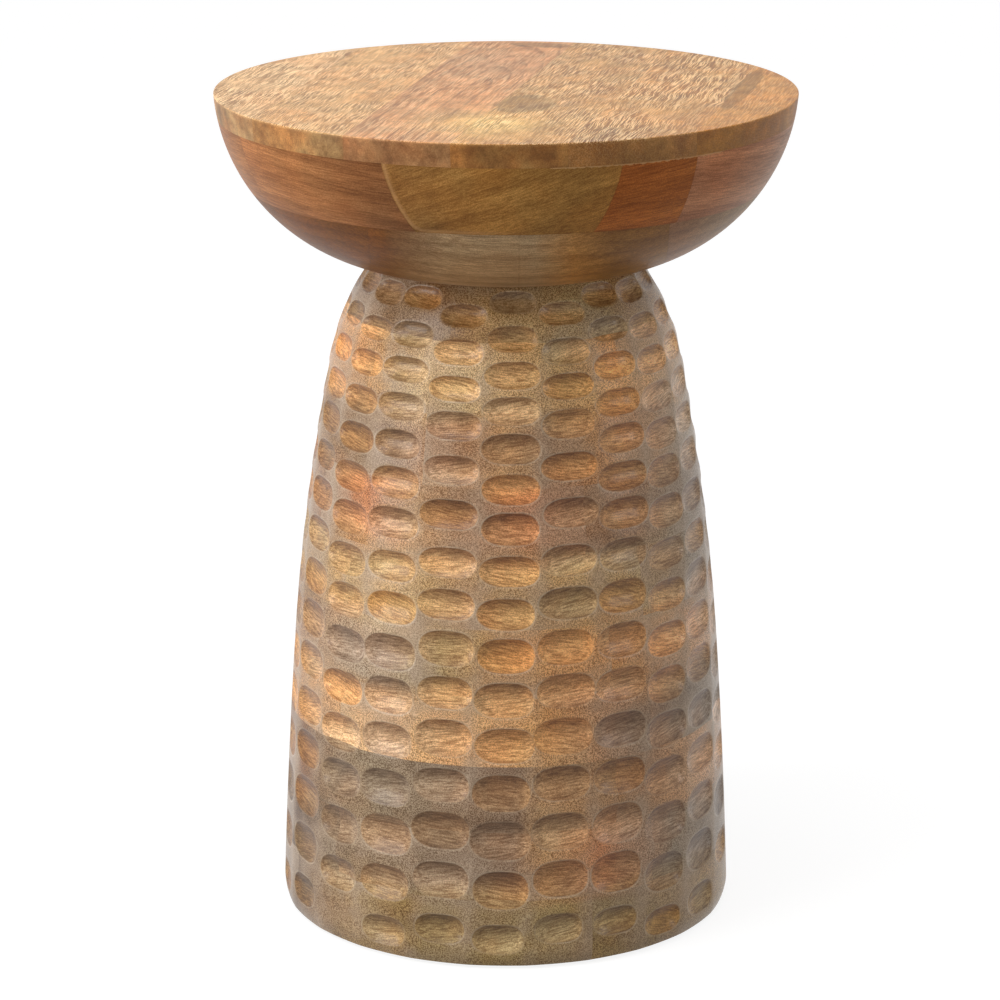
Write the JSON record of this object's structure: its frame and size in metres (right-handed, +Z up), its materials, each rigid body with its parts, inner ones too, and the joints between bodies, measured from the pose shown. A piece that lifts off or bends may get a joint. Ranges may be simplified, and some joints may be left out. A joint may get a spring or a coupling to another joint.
{
  "type": "pedestal side table",
  "caption": "Round wooden side table: a solid-looking bowl-shaped top on a tapered hollow pedestal, carved all over with oval gouge marks.",
  "frame": {"origin": "on the floor, under the middle of the pedestal, at the felt pads' undersides", "axes": "+Z up through the middle of the table top, -Y to the front as pictured, +X to the right"},
  "size_m": [0.381, 0.381, 0.5552],
  "materials": {
    "top_wood": "satin",
    "rim_wood": "satin",
    "bowl_wood": "satin",
    "pedestal_wood": "satin",
    "crown_wood": "satin",
    "dowel_wood": "raw",
    "screw_steel": "zinc plated",
    "washer_steel": "zinc plated",
    "felt": "matte felt"
  },
  "bodies": {
    "root": {"bowl_base_board_1": "bowl_wood", "bowl_base_board_2": "bowl_wood", "bowl_base_board_3": "bowl_wood", "bowl_base_board_4": "bowl_wood", "felt_pads": "felt", "locating_dowels": "dowel_wood", "pedestal_course_1_block_1": "pedestal_wood", "pedestal_course_1_block_2": "pedestal_wood", "pedestal_course_1_block_3": "pedestal_wood", "pedestal_course_1_block_4": "pedestal_wood", "pedestal_course_2_block_1": "pedestal_wood", "pedestal_course_2_block_2": "pedestal_wood", "pedestal_course_2_block_3": "pedestal_wood", "pedestal_course_2_block_4": "pedestal_wood", "pedestal_course_3_block_1": "pedestal_wood", "pedestal_course_3_block_2": "pedestal_wood", "pedestal_course_3_block_3": "pedestal_wood", "pedestal_course_3_block_4": "pedestal_wood", "pedestal_course_4_block_1": "pedestal_wood", "pedestal_course_4_block_2": "pedestal_wood", "pedestal_course_4_block_3": "pedestal_wood", "pedestal_course_4_block_4": "pedestal_wood", "pedestal_course_5_block_1": "pedestal_wood", "pedestal_course_5_block_2": "pedestal_wood", "pedestal_course_5_block_3": "pedestal_wood", "pedestal_course_5_block_4": "pedestal_wood", "pedestal_course_6_block_1": "pedestal_wood", "pedestal_course_6_block_2": "pedestal_wood", "pedestal_course_6_block_3": "pedestal_wood", "pedestal_course_6_block_4": "pedestal_wood", "pedestal_course_7_block_1": "pedestal_wood", "pedestal_course_7_block_2": "pedestal_wood", "pedestal_course_7_block_3": "pedestal_wood", "pedestal_course_7_block_4": "pedestal_wood", "pedestal_course_8_block_1": "pedestal_wood", "pedestal_course_8_block_2": "pedestal_wood", "pedestal_course_8_block_3": "pedestal_wood", "pedestal_course_8_block_4": "pedestal_wood", "pedestal_course_9_block_1": "pedestal_wood", "pedestal_course_9_block_2": "pedestal_wood", "pedestal_course_9_block_3": "pedestal_wood", "pedestal_course_9_block_4": "pedestal_wood", "pedestal_crown_half_1": "crown_wood", "pedestal_crown_half_2": "crown_wood", "rim_block_1": "rim_wood", "rim_block_2": "rim_wood", "rim_block_3": "rim_wood", "rim_block_4": "rim_wood", "rim_block_5": "rim_wood", "rim_block_6": "rim_wood", "rim_block_7": "rim_wood", "screw_washers": "washer_steel", "top_board_1": "top_wood", "top_board_2": "top_wood", "top_board_3": "top_wood", "top_board_4": "top_wood", "top_board_5": "top_wood", "top_board_6": "top_wood", "top_fixing_screws": "screw_steel"}
  },
  "joints": []
}
